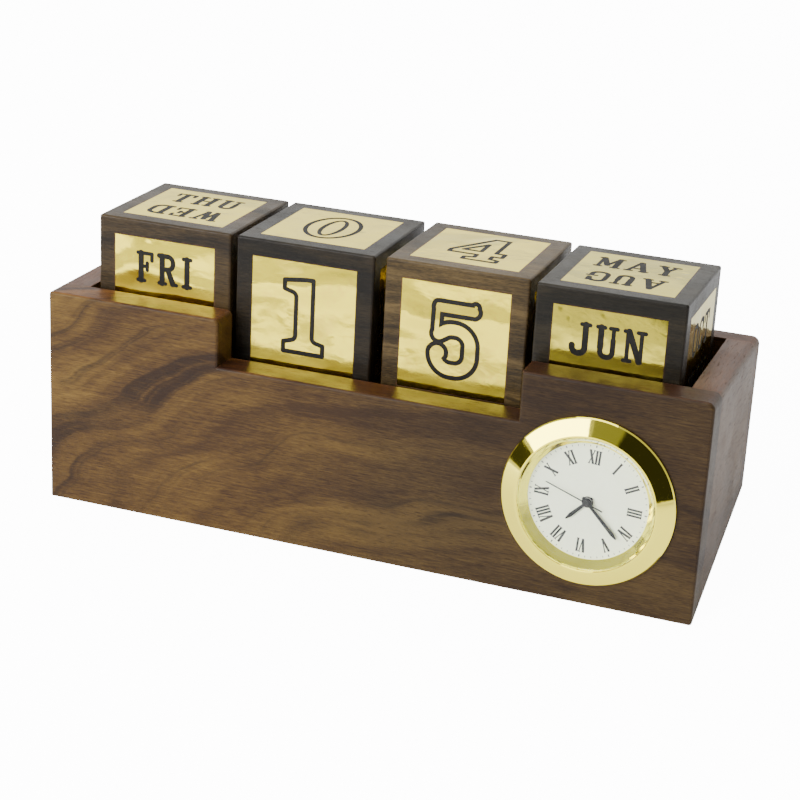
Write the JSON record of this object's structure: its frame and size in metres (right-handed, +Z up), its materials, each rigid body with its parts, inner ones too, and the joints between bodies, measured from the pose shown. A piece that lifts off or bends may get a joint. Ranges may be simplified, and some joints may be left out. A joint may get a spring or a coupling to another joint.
{
  "type": "perpetual cube desk calendar",
  "caption": "Wooden trough leaning back on a slanted foot, holding loose cubes with engraved brass day, date and month plates, and a round quartz clock insert.",
  "frame": {"origin": "centre of the flat underside, on the table", "axes": "+X to the right seen from the front, along the length; +Y towards the back; +Z up. The front leans back from the vertical."},
  "size_m": [0.1466, 0.0577, 0.0592],
  "materials": {
    "oiled_wood": "mid-brown hardwood, satin lacquer",
    "dark_wood": "near-black stained hardwood, satin lacquer",
    "plate_brass": "polished brass sheet",
    "black_enamel": "black enamel filling",
    "polished_gilt": "mirror polished, gilt",
    "clear_glass": "clear mineral glass",
    "dial_white": "off-white paint, satin",
    "hand_black": "black paint, satin",
    "case_plastic": "black moulded plastic",
    "band_rubber": "pale soft rubber",
    "board_green": "green circuit board",
    "can_steel": "bright drawn steel",
    "coil_copper": "enamelled copper wire",
    "wheel_plastic": "natural acetal"
  },
  "bodies": {
    "holder": {"front_board": "oiled_wood", "back_board": "oiled_wood", "left_end": "oiled_wood", "right_end": "oiled_wood", "base_block": "oiled_wood"},
    "weekday_block": {"weekday_cube": "dark_wood", "weekday_plate_fri": "plate_brass", "weekday_plate_thu_wed": "plate_brass", "weekday_plate_mon": "plate_brass", "weekday_plate_tue": "plate_brass", "weekday_plate_sat": "plate_brass", "weekday_plate_sun": "plate_brass", "weekday_enamel": "black_enamel"},
    "tens_block": {"tens_cube": "dark_wood", "tens_plate_1": "plate_brass", "tens_plate_0": "plate_brass", "tens_plate_7": "plate_brass", "tens_plate_8": "plate_brass", "tens_plate_2": "plate_brass", "tens_plate_6": "plate_brass", "tens_enamel": "black_enamel"},
    "units_block": {"units_cube": "dark_wood", "units_plate_5": "plate_brass", "units_plate_4": "plate_brass", "units_plate_0": "plate_brass", "units_plate_1": "plate_brass", "units_plate_3": "plate_brass", "units_plate_2": "plate_brass", "units_enamel": "black_enamel"},
    "month_block": {"month_cube": "dark_wood", "month_plate_jun_feb": "plate_brass", "month_plate_may_aug": "plate_brass", "month_plate_nov_jan": "plate_brass", "month_plate_sep_mar": "plate_brass", "month_plate_oct_apr": "plate_brass", "month_plate_dec_jul": "plate_brass", "month_enamel": "black_enamel"},
    "clock": {"clock_bezel": "polished_gilt", "clock_lens": "clear_glass", "chapter_ring": "polished_gilt", "clock_dial": "dial_white", "clock_case": "case_plastic", "retaining_band": "band_rubber", "movement_plate": "case_plastic", "circuit_board": "board_green", "quartz_crystal": "can_steel", "button_cell": "can_steel", "drive_coil": "coil_copper", "stator": "can_steel"},
    "rotor_arbor": {"rotor": "wheel_plastic"},
    "step_arbor": {"step_wheel": "wheel_plastic"},
    "seconds_arbor": {"seconds_wheel": "wheel_plastic", "second_hand": "hand_black"},
    "third_arbor": {"third_wheel": "wheel_plastic"},
    "minute_arbor": {"minute_wheel": "wheel_plastic", "minute_hand": "hand_black"},
    "motion_arbor": {"motion_wheel": "wheel_plastic"},
    "hour_arbor": {"hour_wheel": "wheel_plastic", "hour_hand": "hand_black"},
    "knob": {"setting_knob": "case_plastic"}
  },
  "joints": [
    {"name": "weekday_lift", "type": "slide", "parent": "holder", "child": "weekday_block", "axis": [0, 0.2807, 0.9598], "range_m": [0, 0.036]},
    {"name": "tens_lift", "type": "slide", "parent": "holder", "child": "tens_block", "axis": [0, 0.2807, 0.9598], "range_m": [0, 0.036]},
    {"name": "units_lift", "type": "slide", "parent": "holder", "child": "units_block", "axis": [0, 0.2807, 0.9598], "range_m": [0, 0.036]},
    {"name": "month_lift", "type": "slide", "parent": "holder", "child": "month_block", "axis": [0, 0.2807, 0.9598], "range_m": [0, 0.036]},
    {"name": "clock_pull", "type": "slide", "parent": "holder", "child": "clock", "axis": [0, -0.9598, 0.2807], "range_m": [0, 0.009]},
    {"name": "seconds_turn", "type": "hinge", "parent": "clock", "child": "seconds_arbor", "pos_m": [0.04965, -0.0177, 0.02179], "axis": [0, 0.9598, -0.2807], "continuous": true},
    {"name": "rotor_turn", "type": "hinge", "parent": "clock", "child": "rotor_arbor", "pos_m": [0.04999, -0.01502, 0.03094], "axis": [0, 0.9598, -0.2807], "continuous": true},
    {"name": "step_turn", "type": "hinge", "parent": "clock", "child": "step_arbor", "pos_m": [0.05305, -0.01604, 0.02744], "axis": [0, 0.9598, -0.2807], "continuous": true},
    {"name": "third_turn", "type": "hinge", "parent": "clock", "child": "third_arbor", "pos_m": [0.04326, -0.01835, 0.01955], "axis": [0, 0.9598, -0.2807], "continuous": true},
    {"name": "minute_turn", "type": "hinge", "parent": "clock", "child": "minute_arbor", "pos_m": [0.04965, -0.0177, 0.02179], "axis": [0, 0.9598, -0.2807], "continuous": true},
    {"name": "motion_turn", "type": "hinge", "parent": "clock", "child": "motion_arbor", "pos_m": [0.05333, -0.01856, 0.01883], "axis": [0, 0.9598, -0.2807], "continuous": true},
    {"name": "hour_turn", "type": "hinge", "parent": "clock", "child": "hour_arbor", "pos_m": [0.04965, -0.0177, 0.02179], "axis": [0, 0.9598, -0.2807], "continuous": true},
    {"name": "knob_turn", "type": "hinge", "parent": "clock", "child": "knob", "pos_m": [0.05249, -0.01989, 0.01429], "axis": [0, 0.9598, -0.2807], "continuous": true}
  ],
  "couplings": [
    {"joint": "rotor_turn", "follows": "seconds_turn", "ratio": 30},
    {"joint": "step_turn", "follows": "seconds_turn", "ratio": -5},
    {"joint": "third_turn", "follows": "seconds_turn", "ratio": -0.13333},
    {"joint": "minute_turn", "follows": "seconds_turn", "ratio": 0.016667},
    {"joint": "motion_turn", "follows": "seconds_turn", "ratio": -0.0055556},
    {"joint": "hour_turn", "follows": "seconds_turn", "ratio": 0.0013889},
    {"joint": "knob_turn", "follows": "seconds_turn", "ratio": 0.016667}
  ]
}
